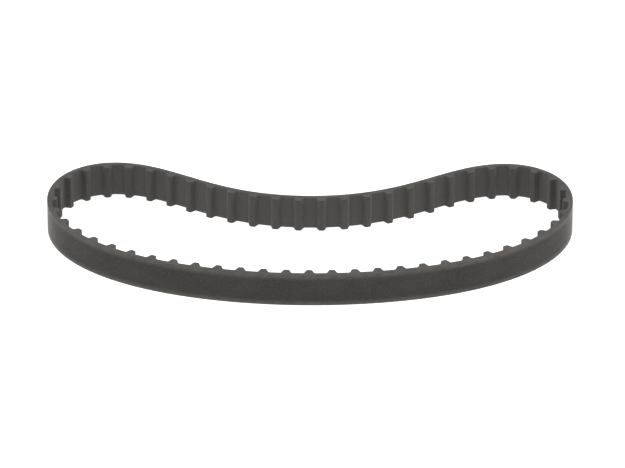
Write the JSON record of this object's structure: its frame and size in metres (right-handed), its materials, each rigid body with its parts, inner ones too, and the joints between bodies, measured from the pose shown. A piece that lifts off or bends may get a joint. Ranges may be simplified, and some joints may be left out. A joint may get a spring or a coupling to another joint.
{
  "type": "timing belt",
  "caption": "Endless toothed rubber belt with inner trapezoidal teeth, shown slack and standing on edge; its ring flexes between pinched and open.",
  "frame": {"origin": "centre of the belt's outline, on the plane of the cut edge that it stands on", "axes": "+X along the loop's long way, +Y from the bowed front span towards the dipped back span, +Z across the belt's width"},
  "size_m": [0.1174, 0.0458, 0.0079],
  "materials": {
    "backing": "ground matte neoprene back",
    "teeth": "matte moulded neoprene",
    "facing": "woven nylon, dull",
    "cord": "dipped glass-fibre strand"
  },
  "bodies": {
    "link_01": {"backing_01": "backing", "cord_01": "cord", "teeth_01": "teeth", "facing_01": "facing"},
    "link_02": {"backing_02": "backing", "cord_02": "cord", "teeth_02": "teeth", "facing_02": "facing"},
    "link_03": {"backing_03": "backing", "cord_03": "cord", "teeth_03": "teeth", "facing_03": "facing"},
    "link_04": {"backing_04": "backing", "cord_04": "cord", "teeth_04": "teeth", "facing_04": "facing"},
    "link_05": {"backing_05": "backing", "cord_05": "cord", "teeth_05": "teeth", "facing_05": "facing"},
    "link_06": {"backing_06": "backing", "cord_06": "cord", "teeth_06": "teeth", "facing_06": "facing"},
    "link_07": {"backing_07": "backing", "cord_07": "cord", "teeth_07": "teeth", "facing_07": "facing"},
    "link_08": {"backing_08": "backing", "cord_08": "cord", "teeth_08": "teeth", "facing_08": "facing"},
    "link_09": {"backing_09": "backing", "cord_09": "cord", "teeth_09": "teeth", "facing_09": "facing"},
    "link_10": {"backing_10": "backing", "cord_10": "cord", "teeth_10": "teeth", "facing_10": "facing"},
    "link_11": {"backing_11": "backing", "cord_11": "cord", "teeth_11": "teeth", "facing_11": "facing"}
  },
  "joints": [
    {"name": "flex_01_02", "type": "hinge", "parent": "link_01", "child": "link_02", "pos_m": [0.01268, -0.02143, 0.00397], "axis": [0, 0, 1], "range_deg": [-14, 14], "stiffness_Nm_per_rad": 0.002},
    {"name": "flex_02_03", "type": "hinge", "parent": "link_02", "child": "link_03", "pos_m": [0.03725, -0.01539, 0.00397], "axis": [0, 0, 1], "range_deg": [-9.68, 9.68], "stiffness_Nm_per_rad": 0.002},
    {"name": "flex_03_04", "type": "hinge", "parent": "link_03", "child": "link_04", "pos_m": [0.05618, 0.00072, 0.00397], "axis": [0, 0, 1], "range_deg": [-16.07, 16.07], "stiffness_Nm_per_rad": 0.002},
    {"name": "flex_04_05", "type": "hinge", "parent": "link_04", "child": "link_05", "pos_m": [0.04815, 0.02148, 0.00397], "axis": [0, 0, 1], "range_deg": [-1.51, 1.51], "stiffness_Nm_per_rad": 0.002},
    {"name": "flex_05_06", "type": "hinge", "parent": "link_05", "child": "link_06", "pos_m": [0.02436, 0.01486, 0.00397], "axis": [0, 0, 1], "range_deg": [-13.15, 13.15], "stiffness_Nm_per_rad": 0.002},
    {"name": "flex_01_11", "type": "hinge", "parent": "link_01", "child": "link_11", "pos_m": [-0.01268, -0.02143, 0.00397], "axis": [0, 0, 1], "range_deg": [-14.05, 14.05], "stiffness_Nm_per_rad": 0.002},
    {"name": "flex_11_10", "type": "hinge", "parent": "link_11", "child": "link_10", "pos_m": [-0.03725, -0.01539, 0.00397], "axis": [0, 0, 1], "range_deg": [-9.68, 9.68], "stiffness_Nm_per_rad": 0.002},
    {"name": "flex_10_09", "type": "hinge", "parent": "link_10", "child": "link_09", "pos_m": [-0.05618, 0.00072, 0.00397], "axis": [0, 0, 1], "range_deg": [-16.07, 16.07], "stiffness_Nm_per_rad": 0.002},
    {"name": "flex_09_08", "type": "hinge", "parent": "link_09", "child": "link_08", "pos_m": [-0.04815, 0.02148, 0.00397], "axis": [0, 0, 1], "range_deg": [-1.51, 1.51], "stiffness_Nm_per_rad": 0.002},
    {"name": "flex_08_07", "type": "hinge", "parent": "link_08", "child": "link_07", "pos_m": [-0.02436, 0.01486, 0.00397], "axis": [0, 0, 1], "range_deg": [-13.15, 13.15], "stiffness_Nm_per_rad": 0.002}
  ],
  "couplings": [
    {"joint": "flex_02_03", "follows": "flex_01_02", "ratio": -0.688},
    {"joint": "flex_03_04", "follows": "flex_01_02", "ratio": -1.144},
    {"joint": "flex_04_05", "follows": "flex_01_02", "ratio": -0.104},
    {"joint": "flex_05_06", "follows": "flex_01_02", "ratio": 0.936},
    {"joint": "flex_01_11", "follows": "flex_01_02", "ratio": -1},
    {"joint": "flex_11_10", "follows": "flex_01_02", "ratio": 0.688},
    {"joint": "flex_10_09", "follows": "flex_01_02", "ratio": 1.144},
    {"joint": "flex_09_08", "follows": "flex_01_02", "ratio": 0.104},
    {"joint": "flex_08_07", "follows": "flex_01_02", "ratio": -0.936}
  ]
}
